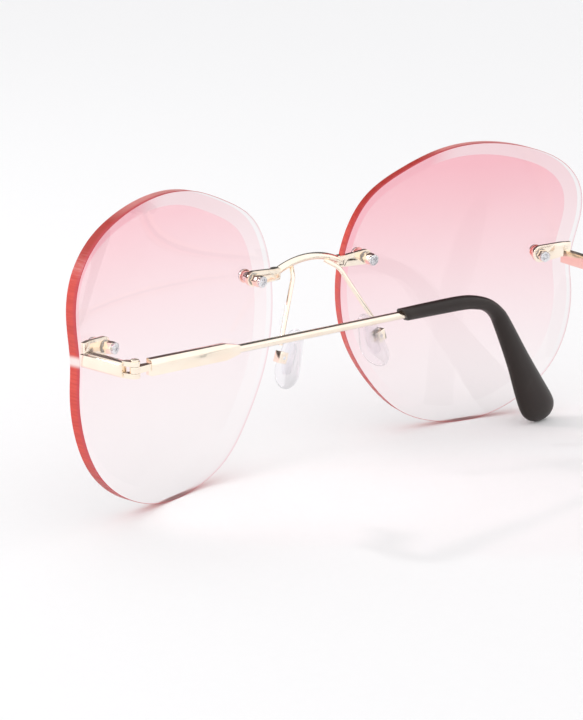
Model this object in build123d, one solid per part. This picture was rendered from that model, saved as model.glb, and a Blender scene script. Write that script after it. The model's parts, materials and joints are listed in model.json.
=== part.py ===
from build123d import *
import math
import os

# Rimless cat eye sunglasses, in millimetres and degrees.
# X runs towards the wearer's left, Y backwards along the temples, and Z up. The origin lies
# midway between the lenses, at half their height, on the lens rim line. The left temple
# is drawn folded and the right temple open.

# Lenses
lens_width = 62.2
lens_height = 64.2
bridge_gap = 21.8
lens_thickness = 3.1
lens_radius = 140.0
wrap_angle = 13.3
facet_width = 2.8
facet_depth = 0.7

# Lens outline, counterclockwise from the temporal notch, in half widths and half heights.
notch_point = (0.938, 0.1)
outline_points = [
    (0.953, 0.2),
    (0.996, 0.42),
    (0.965, 0.635),
    (0.83, 0.8),
    (0.565, 0.925),
    (0.2, 0.993),
    (-0.15, 0.97),
    (-0.475, 0.86),
    (-0.785, 0.68),
    (-0.958, 0.37),
    (-1.0, 0.02),
    (-0.93, -0.315),
    (-0.755, -0.61),
    (-0.5, -0.86),
    (-0.16, -0.983),
    (0.205, -0.987),
    (0.55, -0.862),
    (0.82, -0.625),
    (0.94, -0.33),
    (0.953, -0.1),
]

# Fasteners through the lenses
screw_diameter = 1.4
bush_wall = 0.4
head_diameter = 2.8
head_height = 0.9
front_washer_diameter = 3.0
rear_washer_diameter = 2.6
washer_thickness = 0.3
nut_flats = 2.3
nasal_nut_length = 2.1
temporal_nut_length = 1.7
screw_tip = 0.1
screw_head_round = 0.65
lock_nut_diameter = 2.4
lock_nut_length = 0.6
lock_nut_notch = 0.3
star_slot_width = 0.25
star_slot_depth = 0.3
star_points = 6
nasal_hole_inset = 6.2
nasal_hole_height = 9.1
temporal_hole_inset = 7.6
temporal_hole_height = 4.7

# Clearances
seat_gap = 0.02
running_gap = 0.05
knuckle_gap = 0.06

# Bridge
bridge_plate_thickness = 0.8
bridge_plate_end = 1.65
bridge_bar_width = 2.0
bridge_bar_height = 1.6
bridge_rise = 2.2
bridge_depth = -1.0
lug_width = 1.7
lug_height = 2.4
lug_reach = 1.1
lug_round = 0.35

# End pieces
leaf_thickness = 0.9
leaf_end = 1.95
leg_height = 3.0
leg_thickness = 2.0
leg_length = 10.9
leg_toe_in = 8.7
leg_edge_inset = 0.3
leg_z = 3.7
leg_chamfer = 0.4
leg_end_round = 0.5
leg_root_overlap = 2.0

# Temple hinges
hinge_setback = 1.5
hinge_offset = 1.4
hinge_height = 3.3
knuckle_radius = 1.0
tongue_height = 1.25
hinge_screw_diameter = 1.15
hinge_head_diameter = 1.6
hinge_head_height = 0.35
hinge_slot_width = 0.3
hinge_slot_depth = 0.15
knuckle_root_depth = 0.6
ear_root_width = 1.1
butt_distance = 3.2
tongue_root_width = 1.1
blade_offset = 0.3
open_toe_in = 2.0
left_fold_angle = 91.3

# Temples
temple_drop = 1.9
blade_length = 19.0
blade_height = 3.2
blade_thickness = 1.7
blade_taper = 3.4
blade_bevel_height = 0.9
blade_bevel_depth = 0.35
rod_diameter = 1.7
bend_distance = 100.0
bend_radius = 15.0
bend_angle = 56.6
rod_margin = 6.0
sleeve_start = 72.2
sleeve_wall = 0.65
sleeve_mouth_slant = 33.0
paddle_width = 9.4
paddle_thickness = 4.0
# Share of the sleeve's last straight part, and how much of the paddle's widening it has there.
paddle_stations = ((0, 0), (0.33, 0.24), (0.67, 0.72), (1, 1))
paddle_dome_latitudes = (0, 20, 40, 60, 75, 88)

# Nose pads
pad_arm_diameter = 1.0
pad_arm_root = (4.65, -1.0, 9.9)
pad_arm_knee = (6.5, 1.8, 8.4)
pad_arm_elbow = (13.4, 6.0, -4.2)
pad_arm_bend_radius = 3.0
pad_centre = (11.6, 6.9, -7.6)
pad_frontal_angle = 18.0
pad_splay_angle = 6.0
pad_height = 13.0
pad_width = 8.2
pad_top_width = 5.6
pad_thickness = 2.0
pad_edge_round = 0.8
insert_height = 7.0
insert_width = 3.2
insert_thickness = 0.6
insert_cover = 0.5
pad_tongue_thickness = 0.9
pad_tongue_radius = 0.75
pad_tongue_root = 0.2
tongue_reach = 1.15
pad_screw_diameter = 0.8
pad_screw_head = 1.2
pad_screw_head_height = 0.3
box_wall = 0.5
box_height = 2.4
box_lip = 0.7


# Lens frame: local X towards the temple, Y up and Z forwards.
half_width = lens_width / 2
half_height = lens_height / 2
wrap = math.radians(wrap_angle)
lens_centre_x = bridge_gap / 2 + half_width * math.cos(wrap)
lens_plane = Plane(
    origin=(lens_centre_x, 0, 0),
    x_dir=(math.cos(wrap), math.sin(wrap), 0),
    z_dir=(math.sin(wrap), -math.cos(wrap), 0),
)
curve_centre = facet_depth - lens_radius
rear_radius = lens_radius - lens_thickness


def lens_ball(radius):
    """Ball centred on the left lens's centre of curvature, its poles above and below."""
    return lens_plane * Pos(0, 0, curve_centre) * Rot(90, 0, 0) * Sphere(radius)


def rear_ball(offset):
    """Ball whose surface lies this far behind the back of the left lens."""
    return lens_ball(rear_radius - offset)


def lens_seat(u, v):
    """Plane on the back of the left lens, Z pointing backwards out of it."""
    w = curve_centre + math.sqrt(rear_radius**2 - u**2 - v**2)
    local_normal = Vector(-u, -v, curve_centre - w).normalized()
    local_along = Vector(1, 0, 0) - local_normal * local_normal.X
    origin = lens_plane.from_local_coords(Vector(u, v, w))
    normal = lens_plane.from_local_coords(local_normal) - lens_plane.origin
    along = lens_plane.from_local_coords(local_along) - lens_plane.origin
    return Plane(origin=origin, x_dir=along, z_dir=normal)


def outline_face():
    """Flat outline of the left lens in its own frame, seen from the front."""
    points = [notch_point] + outline_points
    scaled = [(u * half_width, v * half_height) for u, v in points]
    return make_face(Spline(*scaled, periodic=True))


nasal_edge_u = -half_width + nasal_hole_inset
temporal_edge_u = notch_point[0] * half_width - temporal_hole_inset
nasal_seat = lens_seat(nasal_edge_u, nasal_hole_height)
temporal_seat = lens_seat(temporal_edge_u, temporal_hole_height)


def tube(outer, inner, start, length):
    """Tube along Z from a start height."""
    ring = Circle(outer / 2) - Circle(inner / 2)
    return Pos(0, 0, start) * extrude(ring, length)


def lens():
    """Curved lens with a flat cut edge, a front facet and two screw holes."""
    reach = lens_radius / 4
    block = lens_plane * extrude(outline_face(), reach, both=True)
    blank = (block & lens_ball(lens_radius)) - rear_ball(0)
    front = max(blank.faces(), key=lambda face: face.center().dot(lens_plane.z_dir))
    blank = chamfer(front.edges(), facet_width, facet_depth, reference=front)
    hole_radius = screw_diameter / 2 + bush_wall
    for seat in (nasal_seat, temporal_seat):
        drill = Cylinder(hole_radius, 4 * lens_thickness)
        blank -= seat * drill
    return blank


def bush():
    """Plastic sleeve that lines a screw hole, in the frame of its seat."""
    outer = screw_diameter + 2 * bush_wall
    return tube(outer, screw_diameter, -lens_thickness, lens_thickness)


def front_washer():
    """Washer under the screw head on the front of the lens."""
    start = -lens_thickness - washer_thickness
    return tube(front_washer_diameter, screw_diameter, start, washer_thickness)


def rear_washer(plate):
    """Washer between a metal plate and its nut."""
    start = seat_gap + plate + seat_gap
    return tube(rear_washer_diameter, screw_diameter, start, washer_thickness)


def nut_start(plate):
    """Height at which the barrel nut stands on its washer."""
    return seat_gap + plate + seat_gap + washer_thickness


def nut(plate, length):
    """Hexagonal barrel nut."""
    hexagon = RegularPolygon(nut_flats / 2, 6, major_radius=False)
    body = extrude(hexagon - Circle(screw_diameter / 2), length)
    return Pos(0, 0, nut_start(plate)) * body


def lock_nut(plate, length):
    """Thin star-shaped nut that locks the end of the barrel nut."""
    star = Circle(lock_nut_diameter / 2) - Circle(screw_diameter / 2)
    for notch in PolarLocations(lock_nut_diameter / 2, star_points):
        star -= notch * Circle(lock_nut_notch / 2)
    return Pos(0, 0, nut_start(plate) + length) * extrude(star, lock_nut_length)


def lens_screw(plate, length):
    """Domed screw with a star slot in its cut end."""
    head_base = -lens_thickness - washer_thickness
    tip = nut_start(plate) + length + lock_nut_length + screw_tip
    shank = Pos(0, 0, head_base) * extrude(Circle(screw_diameter / 2), tip - head_base)
    head = Pos(0, 0, head_base - head_height) * extrude(Circle(head_diameter / 2), head_height)
    head = fillet(head.faces().sort_by(Axis.Z)[0].edges(), screw_head_round)
    screw = shank + head
    slot = Box(2 * screw_diameter, star_slot_width, star_slot_depth)
    for turn in range(star_points // 2):
        angle = turn * 360 / star_points
        screw -= Pos(0, 0, tip - star_slot_depth / 2) * Rot(0, 0, angle) * slot
    return screw


def plate_between(seat, outline, thickness):
    """Sheet of even thickness that hugs the back of the lens under an outline."""
    prism = seat * extrude(outline, thickness * 4, both=True)
    return (prism & rear_ball(seat_gap)) - rear_ball(seat_gap + thickness)


def rim_place(sign, v):
    """Local X of the lens edge at a height, on the nasal (-1) or temporal (+1) side."""
    line = Line((0, v), (sign * lens_width, v))
    inside = outline_face() & line
    ends = inside.vertices()
    return max(ends, key=lambda p: sign * p.X).X


def bridge():
    """Arched bar with a lug at each lens edge and a plate behind each lens."""
    edge_u = rim_place(-1, nasal_hole_height - lug_height / 2)
    to_edge = nasal_edge_u - edge_u
    shape = make_hull(
        Circle(bridge_plate_end).edges()
        + (Pos(-to_edge - lug_width / 2, 0) * Rectangle(lug_width, lug_height)).edges()
    )
    hole = Circle(screw_diameter / 2)
    plate = plate_between(nasal_seat, shape - hole, bridge_plate_thickness)
    edge_at_back = lens_seat(edge_u, nasal_hole_height).origin
    lug_x = edge_at_back.X - seat_gap - lug_width / 2
    lug_back = edge_at_back.Y + bridge_plate_thickness + seat_gap
    lug_front = edge_at_back.Y - lug_reach
    lug_box = Box(lug_width, lug_back - lug_front, lug_height)
    lug = Pos(lug_x, (lug_back + lug_front) / 2, edge_at_back.Z) * lug_box
    lug = fillet(lug.edges(), lug_round)
    crown = (0, bridge_depth, edge_at_back.Z + bridge_rise)
    end = (lug_x, (lug_back + lug_front) / 2, edge_at_back.Z)
    other_end = (-end[0], end[1], end[2])
    path = ThreePointArc(other_end, crown, end)
    section_plane = Plane(origin=path @ 0, x_dir=(0, 1, 0), z_dir=path % 0)
    section = section_plane * Ellipse(bridge_bar_width / 2, bridge_bar_height / 2)
    bar = sweep(section, path)
    half = plate + lug
    return bar + half + mirror(half, Plane.YZ)


def leg_corner():
    """Outer front corner of the left end piece, at the back edge of the lens notch."""
    seat = lens_seat(notch_point[0] * half_width - leg_edge_inset, leg_z)
    return seat.origin


def leg_frame():
    """Plane at the leg's outer corner: X outwards, Y backwards along the leg."""
    toe = math.radians(leg_toe_in)
    corner = leg_corner()
    return Plane(
        origin=(corner.X, corner.Y, leg_z),
        x_dir=(math.cos(toe), math.sin(toe), 0),
        z_dir=(0, 0, 1),
    )


def hinge_centre():
    """Middle of the left hinge axis."""
    local = Vector(-leg_thickness / 2 - hinge_offset, leg_length + hinge_setback, 0)
    return leg_frame().from_local_coords(local)


def end_piece():
    """Leaf plate on the lens, leg running backwards and two hinge ears."""
    frame = leg_frame()
    corner_u = notch_point[0] * half_width - leg_edge_inset - temporal_edge_u
    rise = leg_z - temporal_hole_height
    strip = Pos(corner_u - leg_thickness / 2, rise) * Rectangle(leg_thickness, leg_height)
    shape = make_hull(Circle(leaf_end).edges() + strip.edges())
    hole = Circle(screw_diameter / 2)
    leaf = plate_between(temporal_seat, shape - hole, leaf_thickness)
    length = leg_length + leg_root_overlap
    leg = Pos(-leg_thickness / 2, leg_length - length / 2) * Box(leg_thickness, length, leg_height)
    long_edges = leg.edges().filter_by(Axis.Y)
    leg = chamfer(long_edges.group_by(Axis.X)[-1], leg_chamfer)
    back_edges = leg.edges().group_by(Axis.Y)[-1]
    leg = fillet(back_edges.filter_by(Axis.Z), leg_end_round)
    leg = (frame * leg) & rear_ball(seat_gap)
    return leaf + leg + ears()


def ears():
    """Upper and lower knuckles of the hinge with their arms to the leg."""
    frame = leg_frame()
    centre = frame.to_local_coords(hinge_centre())
    root = Pos(-leg_thickness + ear_root_width / 2, leg_length - knuckle_root_depth / 2)
    root *= Rectangle(ear_root_width, knuckle_root_depth)
    knuckle = Pos(centre.X, centre.Y) * Circle(knuckle_radius)
    bore = Pos(centre.X, centre.Y) * Circle(hinge_screw_diameter / 2)
    shape = make_hull(knuckle.edges() + root.edges()) - bore
    height = (hinge_height - tongue_height) / 2 - knuckle_gap
    upper = Pos(0, 0, hinge_height / 2 - height) * extrude(shape, height)
    lower = Pos(0, 0, -hinge_height / 2) * extrude(shape, height)
    return frame * Compound([upper, lower])


def hinge_screw():
    """Screw through the three knuckles, its head let into the top."""
    shank = Cylinder(hinge_screw_diameter / 2, hinge_height)
    head = Pos(0, 0, hinge_height / 2 + hinge_head_height / 2)
    head *= Cylinder(hinge_head_diameter / 2, hinge_head_height)
    slot = Pos(0, 0, hinge_height / 2 + hinge_head_height)
    slot *= Box(2 * hinge_head_diameter, hinge_slot_width, 2 * hinge_slot_depth)
    return shank + head - slot


def temple_frame():
    """Plane of the open left temple: X along it, Y up and Z outwards, from the hinge."""
    toe = math.radians(open_toe_in)
    drop = math.radians(temple_drop)
    along = Vector(-math.sin(toe), math.cos(toe), 0) * math.cos(drop) - Vector(0, 0, math.sin(drop))
    outwards = Vector(math.cos(toe), math.sin(toe), 0)
    return Plane(origin=hinge_centre(), x_dir=along, z_dir=outwards)


def temple_line(start, end_margin):
    """Bent line of the temple wire, ending this far short of the paddle's centre."""
    turn = math.radians(bend_angle)
    drop = math.radians(temple_drop)
    floor_drop = leg_z + half_height - paddle_width / 2 - bend_distance * math.sin(drop)
    tip_drop = floor_drop / (math.cos(drop) + math.sin(drop) / math.tan(turn))
    leg = tip_drop / math.sin(turn) - end_margin
    tip = (bend_distance + leg * math.cos(turn), -leg * math.sin(turn))
    return FilletPolyline((start, 0), (bend_distance, 0), tip, radius=bend_radius)


def rod_core():
    """Round wire from inside the blade to inside the paddle."""
    path = temple_line(butt_distance + blade_length, rod_margin)
    return sweep(Plane(origin=path @ 0, z_dir=path % 0) * Circle(rod_diameter / 2), path)


def temple_arm():
    """Hinge tongue, bevelled blade and wire rod of the open left temple, in one piece."""
    half = blade_height / 2
    end = butt_distance + blade_length
    side = make_face(
        Polyline(
            (butt_distance, half),
            (end, half),
            (end + blade_taper, rod_diameter / 2),
            (end + blade_taper, -rod_diameter / 2),
            (end, -half),
            (butt_distance, -half),
            close=True,
        )
    )
    blade = Pos(0, 0, -blade_thickness / 2) * extrude(side, blade_thickness)
    top_edge = blade.faces().sort_by(Axis.Z)[-1].edges().group_by(Axis.Y)[-1]
    top_face = blade.faces().sort_by(Axis.Z)[-1]
    blade = chamfer(top_edge, blade_bevel_height, blade_bevel_depth, reference=top_face)
    frame = temple_frame()
    shift = Pos(0, 0, blade_offset)
    metal = frame * shift * (blade + rod_core())
    return metal + tongue()


def tongue():
    """Middle knuckle of the hinge and its arm to the blade's end."""
    toe = math.radians(open_toe_in)
    frame = Plane(origin=hinge_centre(), x_dir=(math.cos(toe), math.sin(toe), 0), z_dir=(0, 0, 1))
    root = Pos(blade_offset, butt_distance + knuckle_root_depth / 2)
    root *= Rectangle(tongue_root_width, knuckle_root_depth)
    shape = make_hull(Circle(knuckle_radius).edges() + root.edges())
    bore = Circle(hinge_screw_diameter / 2 + running_gap)
    return frame * extrude(shape - bore, tongue_height / 2, both=True)


def temple_tip():
    """Moulded sleeve: a round tube round the bend, widening into a flat paddle."""
    path = temple_line(sleeve_start, 0)
    radius = rod_diameter / 2 + sleeve_wall
    leg = path.edges()[-1]
    tube_line = Wire(path.edges()[:-1])
    sleeve = sweep(Plane(origin=tube_line @ 0, z_dir=tube_line % 0) * Circle(radius), tube_line)
    along = leg % 1
    across = Vector(-along.Y, along.X, 0)
    sections = []
    for share, widening in paddle_stations:
        half_wide = radius + (paddle_width / 2 - radius) * widening
        half_thick = radius + (paddle_thickness / 2 - radius) * widening
        section_plane = Plane(origin=leg @ share, x_dir=across, z_dir=along)
        sections.append(section_plane * Ellipse(half_wide, half_thick))
    sleeve += loft(sections)
    rings = []
    for latitude in paddle_dome_latitudes:
        shrink = math.cos(math.radians(latitude))
        reach = paddle_width / 2 * math.sin(math.radians(latitude))
        ring_plane = Plane(origin=leg @ 1 + along * reach, x_dir=across, z_dir=along)
        rings.append(ring_plane * Ellipse(paddle_width / 2 * shrink, paddle_thickness / 2 * shrink))
    sleeve += loft(rings)
    mouth_cut = Pos(sleeve_start, -radius, 0) * Rot(0, 0, sleeve_mouth_slant)
    mouth_cut *= Pos(-2 * radius, 0, 0) * Box(4 * radius, 8 * radius, 4 * radius)
    sleeve = (sleeve - mouth_cut) - rod_core()
    return temple_frame() * Pos(0, 0, blade_offset) * sleeve


def pad_frame():
    """Plane at the middle of the left nose pad: X forwards, Y up it and Z inwards."""
    frontal = math.radians(pad_frontal_angle)
    splay = math.radians(pad_splay_angle)
    up = Vector(-math.sin(frontal), 0, math.cos(frontal))
    back = Vector(math.sin(splay), math.cos(splay), 0)
    inwards = up.cross(back).normalized()
    return Plane(origin=pad_centre, x_dir=up.cross(inwards), z_dir=inwards)


pivot_depth = -pad_thickness / 2 - tongue_reach


def insert():
    """Stiff plate moulded into the nose pad, with a tongue that takes the pad screw."""
    plate_depth = -pad_thickness / 2 + insert_cover
    plate = extrude(SlotOverall(insert_height, insert_width, rotation=90), insert_thickness)
    plate = Pos(0, 0, plate_depth) * plate
    side = Plane(origin=(0, 0, 0), x_dir=(0, 1, 0), z_dir=(1, 0, 0))
    root_depth = plate_depth + insert_thickness / 2
    root = Pos(0, root_depth) * Rectangle(2 * pad_tongue_radius, pad_tongue_root)
    knuckle = Pos(0, pivot_depth) * Circle(pad_tongue_radius)
    bore = Pos(0, pivot_depth) * Circle(pad_screw_diameter / 2 + running_gap)
    shape = make_hull(root.edges() + knuckle.edges()) - bore
    return plate + side * extrude(shape, pad_tongue_thickness / 2, both=True)


def nose_pad():
    """Soft clear pad moulded round its insert."""
    low = Pos(0, -(pad_height - pad_width) / 2) * Circle(pad_width / 2)
    high = Pos(0, (pad_height - pad_top_width) / 2) * Circle(pad_top_width / 2)
    body = extrude(make_hull(low.edges() + high.edges()), pad_thickness / 2, both=True)
    body = fillet(body.edges(), pad_edge_round)
    return body - insert()


cheek_inside = pad_tongue_thickness / 2 + running_gap
cheek_outside = cheek_inside + box_wall
box_back = pivot_depth - pad_tongue_radius - running_gap - box_wall
box_front = pivot_depth + box_lip


def pad_box():
    """Small bracket whose two cheeks hold the pad screw."""
    depth = box_front - box_back
    middle = (box_front + box_back) / 2
    block = Pos(0, 0, middle) * Box(2 * cheek_outside, box_height, depth)
    slot = Pos(0, 0, middle + box_wall) * Box(2 * cheek_inside, 2 * box_height, depth)
    bore = Pos(0, 0, pivot_depth) * Rot(0, 90, 0) * Cylinder(pad_screw_diameter / 2, 4 * cheek_outside)
    return block - slot - bore


def pad_screw():
    """Screw across the pad box, its head in front."""
    shank = Pos(0, 0, pivot_depth) * Rot(0, 90, 0)
    shank *= Cylinder(pad_screw_diameter / 2, 2 * cheek_outside)
    head = Pos(cheek_outside + pad_screw_head_height / 2, 0, pivot_depth) * Rot(0, 90, 0)
    head *= Cylinder(pad_screw_head / 2, pad_screw_head_height)
    return shank + head


def pad_arm():
    """Bent wire from under the bridge bar to the back of the pad box."""
    frame = pad_frame()
    end = frame.from_local_coords(Vector(0, 0, box_back + box_wall / 2))
    path = FilletPolyline(pad_arm_root, pad_arm_knee, pad_arm_elbow, end, radius=pad_arm_bend_radius)
    wire = sweep(Plane(origin=path @ 0, z_dir=path % 0) * Circle(pad_arm_diameter / 2), path)
    block_depth = 2 * (box_front - box_back)
    block = Pos(0, 0, box_back + block_depth / 2) * Box(4 * cheek_outside, 2 * box_height, block_depth)
    trimmed = wire - bridge() - frame * block
    return trimmed.solids().sort_by(SortBy.VOLUME)[-1]


def folded(shape):
    """An open left temple's piece turned about its hinge to lie behind the lenses."""
    pivot = hinge_centre()
    turn = Pos(pivot.X, pivot.Y, 0) * Rot(0, 0, left_fold_angle) * Pos(-pivot.X, -pivot.Y, 0)
    return turn * shape


hinge_plane = Plane(origin=hinge_centre(), z_dir=(0, 0, 1))
pad_plane = pad_frame()

# Pieces of the left half that the front carries.
front_pieces = {
    "lens": lens(),
    "nasal_bush": nasal_seat * bush(),
    "nasal_front_washer": nasal_seat * front_washer(),
    "nasal_rear_washer": nasal_seat * rear_washer(bridge_plate_thickness),
    "nasal_nut": nasal_seat * nut(bridge_plate_thickness, nasal_nut_length),
    "nasal_lock_nut": nasal_seat * lock_nut(bridge_plate_thickness, nasal_nut_length),
    "nasal_screw": nasal_seat * lens_screw(bridge_plate_thickness, nasal_nut_length),
    "temporal_bush": temporal_seat * bush(),
    "temporal_front_washer": temporal_seat * front_washer(),
    "temporal_rear_washer": temporal_seat * rear_washer(leaf_thickness),
    "temporal_nut": temporal_seat * nut(leaf_thickness, temporal_nut_length),
    "temporal_lock_nut": temporal_seat * lock_nut(leaf_thickness, temporal_nut_length),
    "temporal_screw": temporal_seat * lens_screw(leaf_thickness, temporal_nut_length),
    "end_piece": end_piece(),
    "hinge_screw": hinge_plane * hinge_screw(),
    "pad_arm": pad_arm(),
    "pad_box": pad_plane * pad_box(),
    "pad_screw": pad_plane * pad_screw(),
    "nose_pad": pad_plane * nose_pad(),
    "pad_insert": pad_plane * insert(),
}

# Pieces of the left temple while it is open.
temple_pieces = {
    "temple_arm": temple_arm(),
    "temple_tip": temple_tip(),
}

os.makedirs("parts", exist_ok=True)
export_step(bridge(), "parts/bridge.step")
for name, shape in front_pieces.items():
    export_step(shape, f"parts/left_{name}.step")
    export_step(mirror(shape, Plane.YZ), f"parts/right_{name}.step")
for name, shape in temple_pieces.items():
    export_step(folded(shape), f"parts/left_{name}.step")
    export_step(mirror(shape, Plane.YZ), f"parts/right_{name}.step")
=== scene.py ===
import json
import math

import bmesh
import bpy
import numpy as np
from mathutils import Matrix, Vector


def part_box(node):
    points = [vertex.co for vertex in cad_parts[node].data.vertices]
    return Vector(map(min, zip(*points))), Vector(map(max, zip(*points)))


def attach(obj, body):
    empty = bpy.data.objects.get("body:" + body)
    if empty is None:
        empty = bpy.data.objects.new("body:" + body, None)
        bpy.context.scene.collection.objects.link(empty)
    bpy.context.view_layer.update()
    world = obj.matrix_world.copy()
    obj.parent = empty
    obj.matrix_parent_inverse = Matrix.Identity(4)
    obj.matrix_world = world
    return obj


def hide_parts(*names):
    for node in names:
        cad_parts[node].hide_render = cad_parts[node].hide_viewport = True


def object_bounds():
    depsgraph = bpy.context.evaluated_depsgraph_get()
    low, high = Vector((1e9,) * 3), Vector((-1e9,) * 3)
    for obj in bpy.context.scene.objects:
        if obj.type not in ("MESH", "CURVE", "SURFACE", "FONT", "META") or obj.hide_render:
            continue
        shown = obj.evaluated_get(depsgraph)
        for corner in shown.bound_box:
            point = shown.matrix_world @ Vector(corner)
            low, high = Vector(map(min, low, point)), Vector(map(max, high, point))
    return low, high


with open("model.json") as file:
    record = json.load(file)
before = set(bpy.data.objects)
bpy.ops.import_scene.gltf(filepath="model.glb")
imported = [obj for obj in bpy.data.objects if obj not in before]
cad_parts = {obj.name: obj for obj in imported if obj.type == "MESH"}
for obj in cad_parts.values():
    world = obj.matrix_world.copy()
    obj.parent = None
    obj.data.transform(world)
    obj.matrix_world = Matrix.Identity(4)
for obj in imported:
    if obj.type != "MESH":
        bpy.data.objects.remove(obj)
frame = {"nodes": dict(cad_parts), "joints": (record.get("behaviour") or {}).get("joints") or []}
cad_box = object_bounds()

# Lenses
# Two curved plastic lenses, dyed pink at the top and fading to clear at the bottom. Each is cut
# flat round its edge, polished on a slanting facet round the front, and drilled for two screws.
# The dye lies in the skin, so the facet is paler, and the cut edge gathers it into a strong red.
# Towards +X the facet is painted pinker, a painted reflection of that red edge. The edge has
# painted shade and a painted highlight where it faces up or down, and a painted glint at the notch.
mm = 0.001
sides = {"left": 1, "right": -1}
screw_places = ("nasal", "temporal")
wrap_angle = math.radians(13.3)
bridge_gap = 21.8 * mm
lens_width = 62.2 * mm
half_height = 32.1 * mm
front_radius = 140.0 * mm
lens_thickness = 3.1 * mm
facet_width = 2.8 * mm
facet_depth = 0.7 * mm
arris = 0.1 * mm
ball_centre = facet_depth - front_radius
rear_radius = front_radius - lens_thickness
hole_radius = 1.1 * mm
drill_half_length = 3 * mm
drill_count = 48
rim_count = 480
rim_smoothing = 4
face_rings = 16
edge_rings = 4
edge_band = face_rings / (2 * face_rings + edge_rings + 1)
# A painted glint: a pale pink patch on the red edge at the notch for the end piece. These give its
# height, half height, fade and how far out it starts.
notch_height = 3.2 * mm
notch_glint_half_height = 0.35 * mm
notch_glint_fade = 1.5 * mm
notch_reach = 65 * mm
# In half heights of the lens, the dye starts this far below its middle, and is full after this
# much more. The right lens is given a deeper pink than the left, and each lens its own power by
# which the pink fades.
dye_start = 1.05
dye_span = 1.9
dyes = {"left": (0.8, 1.9), "right": (1.0, 1.4)}
# How far past the lens's middle the facet's painted reflection of the red edge takes to come in fully.
facet_painted_red_reach = 16 * mm


class Wire:
    """A socket in a material. Sums on it add Math nodes, and node() adds any other node."""

    def __init__(self, tree, socket=None):
        self.tree = tree
        self.socket = socket

    def node(self, kind, settings=None, inputs=None, output=0):
        made = self.tree.nodes.new("ShaderNode" + kind)
        for name, value in (settings or {}).items():
            setattr(made, name, value)
        for key, value in (inputs or {}).items():
            if isinstance(value, Wire):
                self.tree.links.new(value.socket, made.inputs[key])
            elif isinstance(value, tuple) and len(made.inputs[key].default_value) == 4:
                made.inputs[key].default_value = (*value, 1)
            else:
                made.inputs[key].default_value = value
        return Wire(self.tree, made.outputs[output])

    def math(self, operation, *others):
        return self.node("Math", {"operation": operation}, dict(enumerate((self, *others))))

    def __add__(self, other):
        return self.math("ADD", other)

    def __sub__(self, other):
        return self.math("SUBTRACT", other)

    def __mul__(self, other):
        return self.math("MULTIPLY", other)

    def __rmul__(self, other):
        return self.math("MULTIPLY", other)

    def __radd__(self, other):
        return self.math("ADD", other)

    def __rsub__(self, other):
        return self.node("Math", {"operation": "SUBTRACT"}, {0: other, 1: self})

    def __pow__(self, other):
        return self.math("POWER", other)

    def between(self, low, high):
        """0 below low, 1 above high, and a smooth step in between."""
        return self.node(
            "MapRange", {"interpolation_type": "SMOOTHSTEP"}, {0: self, 1: low, 2: high}
        )

    def mix(self, first, second):
        """A colour from first, where this is 0, to second, where it is 1."""
        return self.node(
            "Mix", {"data_type": "RGBA"}, {0: self, 6: first, 7: second}, output=2
        )

    def part(self, axis):
        """One axis of a vector."""
        return self.node("SeparateXYZ", None, {0: self}, output=axis)


def new_material(name, plain_colour):
    """An empty material and the start of its nodes. The colour is what a plain view shows."""
    made = bpy.data.materials.new(name)
    made.use_nodes = True
    made.node_tree.nodes.clear()
    made.diffuse_color = (*plain_colour, 1)
    return made, Wire(made.node_tree)


def noise(start, place, scale, detail=2.0, stretch=(1, 1, 1)):
    """Soft noise from 0 to 1, with its scale in cycles per metre."""
    scaled = start.node("Mapping", None, {0: place, 3: stretch})
    return start.node("TexNoise", None, {"Vector": scaled, "Scale": scale, "Detail": detail})


def finish_material(start, shader):
    """Joins a shader to the material's output."""
    out = start.tree.nodes.new("ShaderNodeOutputMaterial")
    start.tree.links.new(shader.socket, out.inputs["Surface"])


def clear_to_lamps(start, shader, passed, dyed=None, dye=0.0):
    """Lets lamps shine through a clear piece, tinted by one colour, or between two by dye."""
    lamp_ray = start.node("LightPath", output="Is Shadow Ray")
    bare = start.node("BsdfTransparent", None, {0: passed})
    if dyed:
        deep = start.node("BsdfTransparent", None, {0: dyed})
        bare = start.node("MixShader", None, {0: dye, 1: bare, 2: deep})
    return start.node("MixShader", None, {0: lamp_ray, 1: shader, 2: bare})


def lens_glass(side, name, layers):
    """Clear plastic with layers of the fading dye in its skin: two in front, a half on the facet
    and none behind. On the facet the pink rises towards +X to three times its share, a painted
    reflection of the red cut edge. From inside, the facet is plainly clear, and a face lets light
    out once it has been reflected, so neither looks black."""
    dye, fade = dyes[side]
    made, start = new_material(f"{side}_{name}", (0.95, 0.66, 0.7))
    place = start.node("TexCoord", output="Object")
    height = place.part(2) * (1 / half_height)
    climb = start.node("Clamp", None, {0: (height + dye_start) * (1 / dye_span)}) ** fade
    cloud = noise(start, place, 60) * 0.06 + 0.97
    pink = climb * dye * cloud
    kept = min(layers, 1)
    # Painted reflection: towards +X the facet gets more pink, standing in for the red cut edge seen in
    # it.
    if 0 < layers < 1:
        middle = lens_place(sides[side]).translation.x
        painted_edge_red = (place.part(0) - middle).between(0, facet_painted_red_reach)
        kept = painted_edge_red * (1.5 - layers) + layers
    colour = (pink * kept).mix((0.99, 0.975, 0.975), (0.985, 0.52, 0.585))
    if layers > 1:
        colour = start.node("VectorMath", {"operation": "MULTIPLY"}, {0: colour, 1: colour})
    smear = noise(start, place, 90, 4.0, (1, 1, 2.5)).between(0.56, 0.72)
    shader = start.node(
        "BsdfPrincipled",
        None,
        {
            "Base Color": colour,
            "Roughness": smear * 0.02,
            "IOR": 1.38,
            "Transmission Weight": 1.0,
        },
    )
    plain = start.node("BsdfTransparent", None, {0: colour})
    let_out = start.node("NewGeometry", output="Backfacing")
    if not 0 < layers < 1:
        let_out = let_out * start.node("LightPath", output="Glossy Depth").math("MINIMUM", 1)
    shader = start.node("MixShader", None, {0: let_out, 1: shader, 2: plain})
    finish_material(start, clear_to_lamps(start, shader, (0.97, 0.95, 0.95), (0.95, 0.72, 0.76), pink))
    return made


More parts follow.
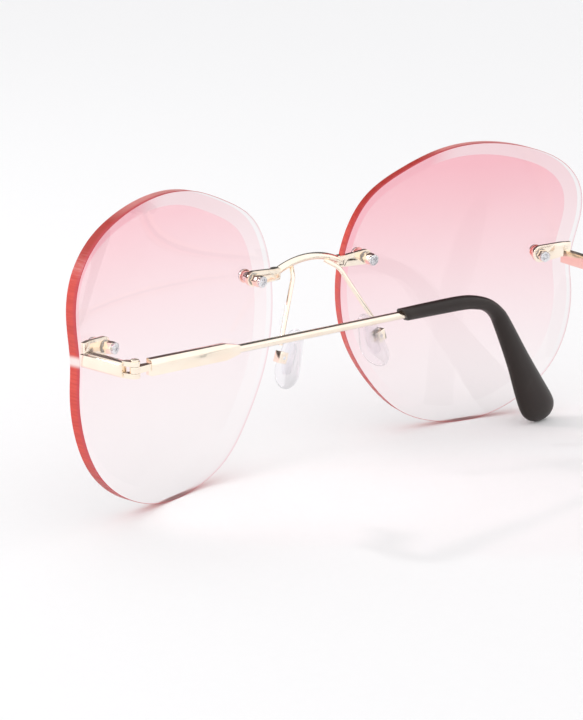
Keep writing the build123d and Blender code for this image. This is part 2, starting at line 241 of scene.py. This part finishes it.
def lens_edge(side):
    """The cut edge: strong red from outside, clear from inside, with fine saw marks across it.
    Painted shade darkens the red where the edge tilts up or down, a painted highlight turns it
    pale where it faces straight up or down, and a painted glint lies at the notch.
    """
    made, start = new_material(f"{side}_lens_edge", (0.8, 0.15, 0.13))
    place = start.node("TexCoord", output="Object")
    along = start.node("UVMap", {"uv_map": "pattern"})
    outward = start.node("NewGeometry", output="Normal")
    marks = noise(start, along, 2400, 2.0, (1, 0.002, 1)).between(0.35, 0.65)
    patch = noise(start, place, 150, 3.0)
    sideways = outward.part(2).math("ABSOLUTE")
    height = place.part(2)
    # Painted highlight: where the edge faces straight up or down, its red is turned pale.
    pale = sideways.between(0.93, 1.0) * 0.6
    # Painted glint: the edge turns pale pink at the notch's height, on the outer side of the lens.
    away = (height - notch_height).math("ABSOLUTE")
    outer = place.part(0).math("ABSOLUTE").between(notch_reach, notch_reach + mm)
    painted_notch_glint = (1 - away.between(notch_glint_half_height, notch_glint_fade)) * outer
    red = (marks * 0.5 + patch * 0.5).mix((0.56, 0.035, 0.025), (0.76, 0.085, 0.06))
    # Painted shade: darker red where the edge tilts up or down, then the painted highlight over it.
    red = (sideways.between(0.3, 0.8) * 0.8).mix(red, (0.4, 0.022, 0.016))
    red = pale.mix(red, (0.9, 0.42, 0.4))
    corner = 1 - along.part(1).between(edge_band + 0.02, edge_band + 0.06)
    red = (corner * 0.75).mix(red, (0.55, 0.05, 0.07))
    red = painted_notch_glint.mix(red, (0.96, 0.78, 0.75))
    bump = start.node("Bump", None, {"Strength": 0.4, "Distance": 0.06 * mm, "Height": marks})
    skin = start.node(
        "BsdfPrincipled",
        None,
        {"Base Color": red, "Roughness": 0.28 + marks * 0.2, "IOR": 1.5, "Normal": bump},
    )
    seen_through = corner.mix((0.985, 0.96, 0.965), (0.92, 0.74, 0.77))
    inside = start.node("BsdfTransparent", None, {0: seen_through})
    behind = start.node("NewGeometry", output="Backfacing")
    both = start.node("MixShader", None, {0: behind, 1: skin, 2: inside})
    finish_material(start, clear_to_lamps(start, both, (0.9, 0.78, 0.78)))
    return made


def lens_place(sign):
    """A lens's own frame: across towards the temple, up, and forwards."""
    centre = bridge_gap / 2 + lens_width / 2 * math.cos(wrap_angle)
    cosine, sine = math.cos(wrap_angle), math.sin(wrap_angle)
    return Matrix(
        (
            (sign * cosine, 0, sign * sine, sign * centre),
            (sine, 0, -cosine, 0),
            (0, 1, 0, 0),
            (0, 0, 0, 1),
        )
    )


def middle_of(node):
    """The middle of a plain part's box."""
    low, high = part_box(node)
    return (low + high) / 2


def lens_rim(side, place):
    """The cut outline of the plain lens, evened out, in the lens's own frame."""
    inverse = place.inverted()
    mesh = frame["nodes"][f"{side}_lens"].data
    holes = [inverse @ middle_of(f"{side}_{where}_bush") for where in screw_places]
    found = []
    for polygon in mesh.polygons:
        across = inverse.to_3x3() @ polygon.normal
        if abs(across.z) > 0.05:
            continue
        for index in polygon.vertices:
            point = inverse @ mesh.vertices[index].co
            if min((point - hole).xy.length for hole in holes) > 2 * mm:
                found.append((math.atan2(point.y, point.x), point.xy.length))
    found = np.array(sorted(found))
    angles = np.arange(rim_count) * 2 * math.pi / rim_count - math.pi
    reach = np.interp(angles, found[:, 0], found[:, 1], period=2 * math.pi)
    for smoothing in range(rim_smoothing):
        reach = (np.roll(reach, 1) + 2 * reach + np.roll(reach, -1)) / 4
    return np.stack([reach * np.cos(angles), reach * np.sin(angles)], 1)


def inset(outline, distance):
    """The same outline, moved inwards by a distance."""
    along = np.roll(outline, -1, 0) - np.roll(outline, 1, 0)
    along /= np.linalg.norm(along, axis=1)[:, None]
    return outline + distance * np.stack([-along[:, 1], along[:, 0]], 1)


def on_ball(points, radius):
    """Outline points lifted on to the lens's front or rear ball."""
    lift = ball_centre + np.sqrt(radius**2 - (points**2).sum(1))
    return np.column_stack([points, lift])


def walked(points):
    """How far along a line of points each one lies."""
    steps = np.linalg.norm(np.diff(points, axis=0), axis=1)
    return np.concatenate([[0], np.cumsum(steps)])


def skinned(name, rings, bands, place=Matrix.Identity(4)):
    """A closed piece through rings of points, with a pole at each end.
    bands gives each band's material; the UV map runs along the ring and across the bands."""
    count = len(rings[1])
    made = bmesh.new()
    layer = made.loops.layers.uv.new("pattern")
    rows = [[made.verts.new(place @ Vector(p)) for p in ring] for ring in rings]
    length = walked(rings[len(rings) // 2])
    length = np.append(length, length[-1] * count / (count - 1))
    for band, (low, high) in enumerate(zip(rows, rows[1:])):
        for column in range(count):
            after = (column + 1) % count
            corners = []
            if len(low) > 1:
                corners += [(low[column], column, 0), (low[after], column + 1, 0)]
            else:
                corners += [(low[0], column, 0)]
            if len(high) > 1:
                corners += [(high[after], column + 1, 1), (high[column], column, 1)]
            else:
                corners += [(high[0], column, 1)]
            face = made.faces.new([corner[0] for corner in corners])
            face.smooth = True
            face.material_index = bands[band]
            for loop, corner in zip(face.loops, corners):
                loop[layer].uv = (length[corner[1]], (band + corner[2]) / len(bands))
    bmesh.ops.recalc_face_normals(made, faces=made.faces)
    mesh = bpy.data.meshes.new(name)
    made.to_mesh(mesh)
    made.free()
    piece = bpy.data.objects.new(name, mesh)
    bpy.context.scene.collection.objects.link(piece)
    return piece


def settle(piece, sharp_angle):
    """Applies a piece's modifiers, and keeps only its real corners sharp."""
    name = piece.name
    bpy.context.view_layer.update()
    held = piece.evaluated_get(bpy.context.evaluated_depsgraph_get())
    mesh = bpy.data.meshes.new_from_object(held)
    mesh.shade_smooth()
    mesh.set_sharp_from_angle(angle=math.radians(sharp_angle))
    materials = [slot.material for slot in piece.material_slots]
    bpy.data.objects.remove(piece)
    mesh.name = name
    made = bpy.data.objects.new(name, mesh)
    bpy.context.scene.collection.objects.link(made)
    for index, material in enumerate(materials):
        if index < len(mesh.materials):
            mesh.materials[index] = material
        else:
            mesh.materials.append(material)
    return made


def drill(side, where, place):
    """A round cutter through the lens at one of its screws."""
    seat = place.inverted() @ middle_of(f"{side}_{where}_bush")
    outward = Vector((seat.x, seat.y, seat.z - ball_centre)).normalized()
    turn = outward.to_track_quat("Z", "Y").to_matrix().to_4x4()
    cutter_place = place @ Matrix.Translation(seat) @ turn
    corners = np.arange(drill_count) * 2 * math.pi / drill_count
    ring = np.column_stack([hole_radius * np.cos(corners), hole_radius * np.sin(corners)])
    rings = [[(0, 0, -drill_half_length)]]
    for level in (-drill_half_length, drill_half_length):
        rings.append(np.column_stack([ring, np.full(drill_count, level)]))
    rings.append([(0, 0, drill_half_length)])
    return skinned(f"{side}_{where}_drill", rings, [0, 0, 0], cutter_place)


def lens(side, sign):
    """One lens, in rings from the middle of its rear face, round the edge, to that of its front."""
    place = lens_place(sign)
    rim = lens_rim(side, place)
    rear_rim = inset(rim, arris)
    front_rim = inset(rim, facet_width)
    rear_edge = on_ball(rim, rear_radius)
    front_edge = on_ball(rim, front_radius)
    rings, bands = [on_ball(np.zeros((1, 2)), rear_radius)], []
    for share in np.linspace(0, 1, face_rings + 1)[1:]:
        rings.append(on_ball(rear_rim * share, rear_radius))
        bands.append(3)
    for share in np.linspace(0, 1, edge_rings + 1):
        low = rear_edge + (0, 0, arris)
        high = front_edge - (0, 0, facet_depth)
        rings.append(low + (high - low) * share)
        bands.append(2)
    rings.append(on_ball(front_rim, front_radius))
    bands.append(1)
    for share in np.linspace(1, 0, face_rings + 1)[1:-1]:
        rings.append(on_ball(front_rim * share, front_radius))
        bands.append(0)
    rings.append(on_ball(np.zeros((1, 2)), front_radius))
    bands.append(0)
    piece = skinned(f"{side}_dyed_lens", rings, bands, place)
    piece.data.materials.append(lens_glass(side, "lens_front", 2))
    piece.data.materials.append(lens_glass(side, "lens_facet", 0.5))
    piece.data.materials.append(lens_edge(side))
    piece.data.materials.append(lens_glass(side, "lens_rear", 0))
    cutters = [drill(side, where, place) for where in screw_places]
    for cutter in cutters:
        hole = piece.modifiers.new("hole", "BOOLEAN")
        hole.object = cutter
        hole.operation = "DIFFERENCE"
        hole.solver = "EXACT"
    piece = settle(piece, 8)
    for cutter in cutters:
        bpy.data.objects.remove(cutter)
    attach(piece, "front")
    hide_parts(f"{side}_lens")


for side, sign in sides.items():
    lens(side, sign)


# Gold metalwork
# The bridge, end pieces, pad arms, boxes, nuts, washers and temple arms are nickel silver,
# polished and plated in a pale gold. The plating is bright, with faint streaks and rubbed spots.
def plated_gold():
    made, start = new_material("pale_gold", (0.9, 0.78, 0.6))
    place = start.node("TexCoord", output="Object")
    patch = noise(start, place, 220, 3.0).between(0.35, 0.7)
    streak = noise(start, place, 2600, 4.0, (1, 1, 0.2)).between(0.4, 0.75)
    pit = noise(start, place, 3200, 2.0).between(0.7, 0.8)
    colour = (patch * 0.6 + pit * 0.4).mix((0.98, 0.88, 0.75), (0.95, 0.81, 0.67))
    bump = start.node(
        "Bump", None, {"Strength": 0.08, "Distance": 0.02 * mm, "Height": streak + pit * -1}
    )
    metal = start.node(
        "BsdfPrincipled",
        None,
        {
            "Base Color": colour,
            "Metallic": 1.0,
            "Roughness": 0.1 + streak * 0.06 + patch * 0.05,
            "Normal": bump,
        },
    )
    finish_material(start, metal)
    return made


def finished(node, body, material, edge, sharp_angle=35):
    """A copy of a metal node with its corners broken by a small polished round."""
    made = bmesh.new()
    made.from_mesh(frame["nodes"][node].data)
    bmesh.ops.remove_doubles(made, verts=made.verts, dist=0.002 * mm)
    bmesh.ops.dissolve_limit(made, angle_limit=math.radians(1), verts=made.verts, edges=made.edges)
    mesh = bpy.data.meshes.new(f"{node}_finished")
    made.to_mesh(mesh)
    made.free()
    piece = bpy.data.objects.new(f"{node}_finished", mesh)
    bpy.context.scene.collection.objects.link(piece)
    piece.data.materials.append(material)
    rounds = piece.modifiers.new("rounds", "BEVEL")
    rounds.width = edge
    rounds.segments = 2
    rounds.limit_method = "ANGLE"
    rounds.angle_limit = math.radians(sharp_angle)
    piece = settle(piece, sharp_angle)
    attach(piece, body)
    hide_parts(node)


gold = plated_gold()
finished("bridge", "front", gold, 0.1 * mm)
for side in sides:
    finished(f"{side}_end_piece", "front", gold, 0.08 * mm)
    finished(f"{side}_pad_box", "front", gold, 0.08 * mm)
    finished(f"{side}_temple_arm", f"{side}_temple", gold, 0.09 * mm)
    for where in screw_places:
        finished(f"{side}_{where}_nut", "front", gold, 0.07 * mm)
        finished(f"{side}_{where}_front_washer", "front", gold, 0.06 * mm)
    finished(f"{side}_hinge_screw", "front", gold, 0.05 * mm)
    frame["nodes"][f"{side}_pad_arm"].material_slots[0].material = gold


# Steel screws
# The lens screws, their lock nuts and the pad screws are bright steel, turned and cut off flat
# behind the nut.
def bright_steel():
    made, start = new_material("bright_steel", (0.75, 0.75, 0.77))
    place = start.node("TexCoord", output="Object")
    grain = noise(start, place, 5200, 3.0)
    stain = noise(start, place, 900, 2.0).between(0.45, 0.7)
    bump = start.node("Bump", None, {"Strength": 0.15, "Distance": 0.02 * mm, "Height": grain})
    metal = start.node(
        "BsdfPrincipled",
        None,
        {
            "Base Color": stain.mix((0.83, 0.83, 0.85), (0.6, 0.6, 0.63)),
            "Metallic": 1.0,
            "Roughness": 0.16 + grain * 0.14,
            "Normal": bump,
        },
    )
    finish_material(start, metal)
    return made


steel = bright_steel()
for side in sides:
    for where in screw_places:
        finished(f"{side}_{where}_screw", "front", steel, 0.05 * mm)
        finished(f"{side}_{where}_lock_nut", "front", steel, 0.06 * mm)
    finished(f"{side}_pad_screw", "front", steel, 0.05 * mm)


# Clear bushes and washers
# Nylon sleeves line the lens holes, and nylon washers sit under the nuts.
def clear_nylon():
    made, start = new_material("clear_nylon", (0.93, 0.92, 0.9))
    place = start.node("TexCoord", output="Object")
    milk = noise(start, place, 1500, 2.0)
    plastic = start.node(
        "BsdfPrincipled",
        None,
        {
            "Base Color": milk.mix((0.97, 0.95, 0.93), (0.88, 0.87, 0.86)),
            "Roughness": 0.22 + milk * 0.15,
            "IOR": 1.53,
            "Transmission Weight": 0.7,
        },
    )
    finish_material(start, clear_to_lamps(start, plastic, (0.9, 0.9, 0.9)))
    return made


nylon = clear_nylon()
for side in sides:
    for name in ("nasal_bush", "temporal_bush", "nasal_rear_washer", "temporal_rear_washer"):
        frame["nodes"][f"{side}_{name}"].material_slots[0].material = nylon


# Nose pads
# Soft clear silicone with a faint lilac cast, moulded round its insert. A pad is a drop-shaped
# pebble, wider at the bottom, crowned towards the nose and a little dished at the back.
pad_height = 13 * mm
pad_low_radius = 4.1 * mm
pad_top_radius = 2.8 * mm
pad_crown = 1.15 * mm
pad_back = 0.95 * mm
pad_dish = 0.25 * mm
pad_frontal_angle = math.radians(18)
pad_splay_angle = math.radians(6)
pad_fullness = 0.6
pad_flatness = 0.75
outer_count = 360
pad_count = 96
pad_rings = 14


def clear_silicone(name, body):
    """Clear silicone. body is how much of the light it bends."""
    made, start = new_material(name, (0.92, 0.92, 0.95))
    place = start.node("TexCoord", output="Object")
    haze = noise(start, place, 500, 3.0)
    rubber = start.node(
        "BsdfPrincipled",
        None,
        {
            "Base Color": haze.mix((0.99, 0.985, 0.99), (0.96, 0.955, 0.975)),
            "Roughness": 0.03 + haze * 0.05,
            "IOR": 1.3,
            "Transmission Weight": 1.0,
        },
    )
    clear = start.node("BsdfTransparent", None, {0: (0.985, 0.98, 0.99)})
    soft = start.node("MixShader", None, {0: body + haze * 0.1, 1: clear, 2: rubber})
    finish_material(start, clear_to_lamps(start, soft, (0.96, 0.955, 0.965)))
    return made


def pad_place(side, sign):
    """The middle of a pad: backwards, up it, and inwards to the nose."""
    up = Vector((-math.sin(pad_frontal_angle), 0, math.cos(pad_frontal_angle)))
    back = Vector((math.sin(pad_splay_angle), math.cos(pad_splay_angle), 0))
    inwards = up.cross(back).normalized()
    back = inwards.cross(up)
    turn = Matrix([[sign * axis.x for axis in (back, up, inwards)]] + [
        [axis[row] for axis in (back, up, inwards)] for row in (1, 2)
    ])
    return Matrix.Translation(middle_of(f"{side}_nose_pad")) @ turn.to_4x4()


def drop_outline(height, low_radius, top_radius, count):
    """Two circles, one above the other, joined by their outer tangents."""
    gap = height - low_radius - top_radius
    lean = math.asin((low_radius - top_radius) / gap)
    points = []
    for step in range(count):
        angle = 2 * math.pi * step / count
        upper = lean < angle < math.pi - lean
        radius = top_radius if upper else low_radius
        rise = height / 2 - top_radius if upper else low_radius - height / 2
        points.append((radius * math.cos(angle), rise + radius * math.sin(angle)))
    return np.array(points)


def even(outline, count):
    """The same closed outline with points at even spacing."""
    closed = np.vstack([outline, outline[:1]])
    length = walked(closed)
    stops = np.arange(count) * length[-1] / count
    return np.column_stack([np.interp(stops, length, closed[:, axis]) for axis in (0, 1)])


silicone = clear_silicone("clear_silicone", 0.22)
insert_plastic = clear_silicone("clear_insert", 0.08)
drop = even(drop_outline(pad_height, pad_low_radius, pad_top_radius, outer_count), pad_count)
for side, sign in sides.items():
    rings = []
    for step in range(2 * pad_rings + 1):
        turn = math.pi * step / (2 * pad_rings)
        reach = math.sin(turn) ** pad_fullness
        lift = math.copysign(abs(math.cos(turn)) ** pad_flatness, math.cos(turn))
        depth = pad_crown if lift > 0 else pad_back
        level = lift * depth + (pad_dish * (1 - reach**2) if lift < 0 else 0)
        outline = drop * reach if 0 < step < 2 * pad_rings else np.zeros((1, 2))
        rings.append(np.column_stack([outline, np.full(len(outline), level)]))
    pad = skinned(f"{side}_silicone_pad", rings, [0] * (len(rings) - 1), pad_place(side, sign))
    pad.data.materials.append(silicone)
    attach(pad, f"{side}_pad")
    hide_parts(f"{side}_nose_pad")
    frame["nodes"][f"{side}_pad_insert"].material_slots[0].material = insert_plastic


# Temple sleeves
# Moulded cellulose acetate, nearly black, with a satin skin and a very fine mould grain. The wire
# is pushed into a round mouth, cut on a slant, and the far end widens into a flat paddle.
open_toe_in = math.radians(2)
left_fold = math.radians(91.3)
blade_offset = 0.3 * mm
rod_radius = 0.85 * mm
mouth_depth = 2 * mm
sleeve_count = 64
station_steps = 8
mouth_flare = 1.03
lip_edge = 0.08
# The lip is rounded. Each step gives its share of the mouth's width, and how far it stands
# out, in depths of the mouth.
lip_steps = ((0.8, 0.06), (0.95, 0.02))
section_power = 2.3
# Each station gives the sleeve's outer edge, its inner edge and its half thickness, measured in
# millimetres along the temple from the hinge and above it.
stations = (
    ((71.2, -0.95), (73.2, -3.85), 1.5),
    ((81.0, -1.15), (82.0, -4.25), 1.5),
    ((90.4, -1.5), (90.8, -4.7), 1.5),
    ((95.4, -2.3), (94.4, -5.2), 1.52),
    ((99.7, -3.8), (97.6, -6.1), 1.55),
    ((103.1, -6.1), (100.2, -7.9), 1.6),
    ((105.8, -9.0), (102.0, -10.7), 1.65),
    ((112.2, -17.9), (106.7, -20.4), 1.8),
    ((117.6, -25.0), (109.6, -27.7), 1.95),
    ((121.6, -30.3), (111.3, -31.6), 2.0),
    ((122.4, -32.7), (112.6, -33.7), 1.75),
    ((121.6, -34.4), (114.3, -35.0), 1.3),
    ((120.2, -35.3), (116.0, -35.6), 0.8),
)
tip_end = (118.2, -35.8)


def satin_black():
    made, start = new_material("satin_black", (0.03, 0.028, 0.028))
    place = start.node("TexCoord", output="Object")
    grain = noise(start, place, 4200, 4.0)
    rub = noise(start, place, 130, 4.0).between(0.5, 0.75)
    bump = start.node("Bump", None, {"Strength": 0.18, "Distance": 0.03 * mm, "Height": grain})
    acetate = start.node(
        "BsdfPrincipled",
        None,
        {
            "Base Color": rub.mix((0.018, 0.011, 0.009), (0.03, 0.021, 0.018)),
            "Roughness": 0.3 + grain * 0.1 - rub * 0.06,
            "Specular IOR Level": 0.3,
            "Normal": bump,
        },
    )
    finish_material(start, acetate)
    return made


def temple_place(side, sign):
    """A temple from its hinge: level along it, outwards, and up."""
    joint = {"left": "left_temple_open", "right": "right_temple_fold"}[side]
    pivot = [j["pos_m"] for j in frame["joints"] if j["name"] == joint][0]
    turn = open_toe_in + (left_fold if side == "left" else 0)
    along = Vector((-sign * math.sin(turn), math.cos(turn), 0))
    outwards = Vector((sign * math.cos(turn), math.sin(turn), 0))
    origin = Vector(pivot) + outwards * blade_offset
    return Matrix(
        (
            (along.x, outwards.x, 0, origin.x),
            (along.y, outwards.y, 0, origin.y),
            (0, 0, 1, origin.z),
            (0, 0, 0, 1),
        )
    )


def smooth_line(points, steps):
    """A smooth curve through points, with this many steps between each two."""
    padded = np.vstack([2 * points[0] - points[1], points, 2 * points[-1] - points[-2]])
    share = (np.arange(steps) / steps)[:, None]
    line = []
    for before, a, b, after in zip(padded, padded[1:], padded[2:], padded[3:]):
        bend = 2 * before - 5 * a + 4 * b - after
        twist = 3 * a - before - 3 * b + after
        line.append(0.5 * (2 * a + (b - before) * share + bend * share**2 + twist * share**3))
    return np.vstack(line + [points[-1:]])


def sleeve_rings():
    """The sleeve from the bottom of its mouth, out over the lip, and along to the paddle's end."""
    outer = smooth_line(np.array([s[0] for s in stations]) * mm, station_steps)
    inner = smooth_line(np.array([s[1] for s in stations]) * mm, station_steps)
    thick = smooth_line(np.array([[s[2]] for s in stations]) * mm, station_steps)[:, 0]
    angles = np.arange(sleeve_count) * 2 * math.pi / sleeve_count
    wide = np.sign(np.cos(angles)) * np.abs(np.cos(angles)) ** (2 / section_power)
    deep = np.sign(np.sin(angles)) * np.abs(np.sin(angles)) ** (2 / section_power)
    rings = []
    for high, low, half in zip(outer, inner, thick):
        middle, across = (high + low) / 2, (high - low) / 2
        flat = middle + wide[:, None] * across
        rings.append(np.column_stack([flat[:, 0], deep * half, flat[:, 1]]))
    mouth = rings[0].mean(0)
    spread = (rings[0] - mouth) / np.linalg.norm(rings[0] - mouth, axis=1)[:, None]
    inwards = np.array([mouth_depth, 0, 0])
    lip = [
        mouth[None] + inwards,
        mouth + spread * rod_radius + inwards,
        mouth + spread * rod_radius * mouth_flare,
    ]
    for share, out in lip_steps:
        lip.append(mouth + (rings[0] - mouth) * share - inwards * out)
    end = np.array([[tip_end[0], 0, tip_end[1]]]) * mm
    return lip + [rings[0] + inwards * lip_edge] + rings[1:] + [end]


black = satin_black()
rings = sleeve_rings()
for side, sign in sides.items():
    sleeve = skinned(f"{side}_sleeve", rings, [0] * (len(rings) - 1), temple_place(side, sign))
    sleeve.data.materials.append(black)
    sleeve = settle(sleeve, 50)
    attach(sleeve, f"{side}_temple")
    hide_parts(f"{side}_temple_tip")


# Camera
# It stands behind the wearer's left shoulder and looks a little down on the folded temple.
camera_data = bpy.data.cameras.new("camera")
camera_data.sensor_width = 36
camera_data.lens = 104.6
camera_data.clip_start = 10 * mm
camera_data.clip_end = 20
camera = bpy.data.objects.new("camera", camera_data)
camera.location = Vector((282.9, 332.0, 114.4)) * mm
look = Vector((-0.6161, -0.7372, -0.2774))
camera.rotation_euler = look.to_track_quat("-Z", "Y").to_euler()
bpy.context.scene.collection.objects.link(camera)
bpy.context.scene.camera = camera


# Floor and light
# A white sheet under the glasses and a bright dome over it. Behind them stands a dark wall, seen
# only in mirrored light, which draws fine dark lines along the polished edges. A soft box stands
# to the left. Light that bends through a lens on its way to the sheet counts for less, because
# light also comes straight through.
floor_half = 6.0
wall_darkness = 0.94
mirror_gain = 0.24
under_lens_loss = 0.35
floor_mesh = bpy.data.meshes.new("floor")
ground = cad_box[0].z - 0.02 * mm
corners = [(x * floor_half, y * floor_half, ground) for x, y in ((-1, -1), (1, -1), (1, 1), (-1, 1))]
floor_mesh.from_pydata(corners, [], [(0, 1, 2, 3)])
floor = bpy.data.objects.new("floor", floor_mesh)
bpy.context.scene.collection.objects.link(floor)
paper, start = new_material("white_sheet", (0.95, 0.94, 0.94))
place = start.node("TexCoord", output="Object")
fibre = noise(start, place, 700, 3.0)
sheet = start.node(
    "BsdfPrincipled",
    None,
    {"Base Color": fibre.mix((0.92, 0.912, 0.912), (0.935, 0.928, 0.928)), "Roughness": 0.8},
)
finish_material(start, sheet)
floor_mesh.materials.append(paper)

dark_side = Vector((-0.36, -0.93, 0)).normalized()
world = bpy.data.worlds.new("studio")
world.use_nodes = True
world.node_tree.nodes.clear()
start = Wire(world.node_tree)
heading = start.node("TexCoord", output="Generated")
towards = start.node(
    "VectorMath", {"operation": "DOT_PRODUCT"}, {0: heading, 1: tuple(dark_side)}, output="Value"
)
level = (1 - heading.part(2) * heading.part(2)).math("SQRT")
facing = towards.math("DIVIDE", level.math("MAXIMUM", 0.01))
climb = heading.part(2)
dark_wall = facing.between(0.25, 0.6) * climb.between(0.02, 0.1) * (1 - climb.between(0.6, 0.78))
mirrored = start.node("LightPath", output="Glossy Depth").math("MINIMUM", 1)
bright = (1 - dark_wall * wall_darkness * mirrored) * (mirrored * mirror_gain + 1.0)
scattered = start.node("LightPath", output="Diffuse Depth").math("MINIMUM", 1)
through = start.node("LightPath", output="Is Transmission Ray")
bright = bright * (1 - scattered * through * under_lens_loss)
lit = start.node("Background", None, {0: (0.985, 0.99, 1.0), 1: bright})
shown = start.node("Background", None, {0: (0.95, 0.945, 0.945), 1: 1.0})
seen = start.node("LightPath", output="Is Camera Ray")
both = start.node("MixShader", None, {0: seen, 1: lit, 2: shown})
out = world.node_tree.nodes.new("ShaderNodeOutputWorld")
world.node_tree.links.new(both.socket, out.inputs["Surface"])
bpy.context.scene.world = world

box_data = bpy.data.lights.new("soft_box", "AREA")
box_data.shape = "DISK"
box_data.size = 0.03
box_data.energy = 0.9
soft_box = bpy.data.objects.new("soft_box", box_data)
soft_box.location = (0.45, -0.38, 0.36)
soft_box.rotation_euler = (-soft_box.location).to_track_quat("-Z", "Y").to_euler()
soft_box.visible_transmission = False
bpy.context.scene.collection.objects.link(soft_box)
bpy.context.scene.view_settings.view_transform = "Standard"
